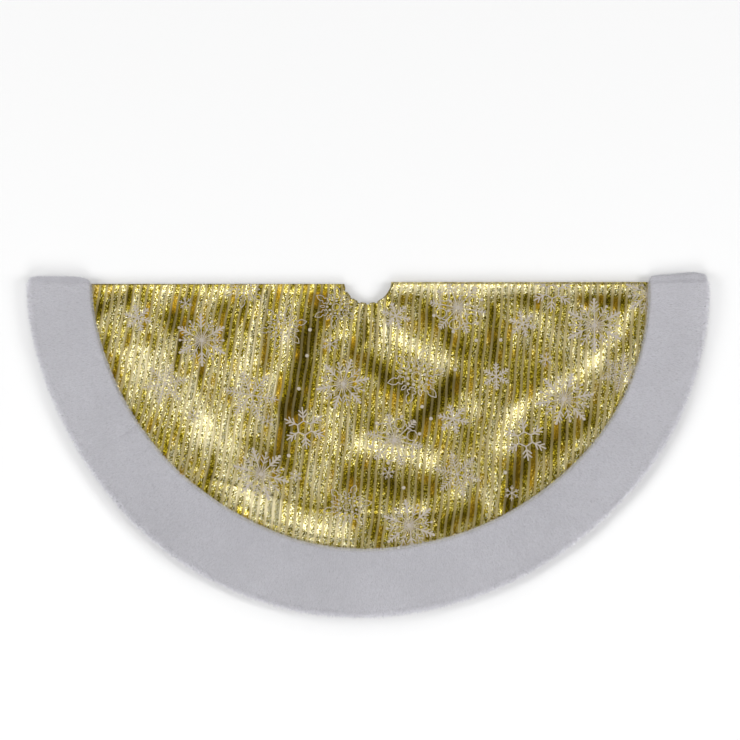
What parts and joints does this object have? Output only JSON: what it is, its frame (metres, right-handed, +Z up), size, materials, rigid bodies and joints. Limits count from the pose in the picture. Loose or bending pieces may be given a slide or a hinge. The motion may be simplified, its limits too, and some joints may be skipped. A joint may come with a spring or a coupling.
{
  "type": "tree skirt",
  "caption": "Round cloth skirt for the foot of a Christmas tree, folded in half: metallic striped face with snowflakes, plush border, trunk hole and closable slit.",
  "frame": {"origin": "middle of the folded skirt's box, on the surface that it lies on", "axes": "+X to the right along the straight folded edge, +Y from the curved rim towards the folded edge, +Z up out of the front half's face"},
  "size_m": [1.2192, 0.6094, 0.0208],
  "materials": {
    "gold_face_cloth": "metallic gold stripes alternating with matte pale stripes, snowflake print",
    "white_lining": "plain woven",
    "white_plush": "short soft pile",
    "gold_thread": "twisted sewing thread",
    "closure_tape": "hook and loop tape"
  },
  "bodies": {
    "front_right": {"front_right_face_cloth": "gold_face_cloth", "front_right_lining": "white_lining", "front_right_plush_border": "white_plush", "front_right_hole_stitching": "gold_thread"},
    "front_left": {"front_left_face_cloth": "gold_face_cloth", "front_left_lining": "white_lining", "front_left_plush_border": "white_plush", "front_left_hole_stitching": "gold_thread", "front_left_slit_stitching": "gold_thread", "hook_tab_1": "closure_tape", "hook_tab_2": "closure_tape", "hook_tab_3": "closure_tape"},
    "back_right": {"back_right_face_cloth": "gold_face_cloth", "back_right_lining": "white_lining", "back_right_plush_border": "white_plush", "back_right_hole_stitching": "gold_thread"},
    "back_left": {"back_left_face_cloth": "gold_face_cloth", "back_left_lining": "white_lining", "back_left_plush_border": "white_plush", "back_left_hole_stitching": "gold_thread", "back_left_slit_stitching": "gold_thread", "loop_tab_1": "closure_tape", "loop_tab_2": "closure_tape", "loop_tab_3": "closure_tape"}
  },
  "joints": [
    {"name": "half_fold", "type": "hinge", "parent": "front_right", "child": "back_right", "pos_m": [0, 0.3049, 0.0104], "axis": [1, 0, 0], "range_deg": [0, 179.9]},
    {"name": "front_quarter_fold", "type": "hinge", "parent": "front_right", "child": "front_left", "pos_m": [0, 0, 0.0213], "axis": [0, 1, 0], "range_deg": [0, 179.9]},
    {"name": "back_quarter_fold", "type": "hinge", "parent": "back_right", "child": "back_left", "pos_m": [0, 0, 0.0213], "axis": [0, 1, 0], "range_deg": [0, 179.9]}
  ],
  "couplings": [
    {"joint": "back_quarter_fold", "follows": "front_quarter_fold", "ratio": 1}
  ]
}
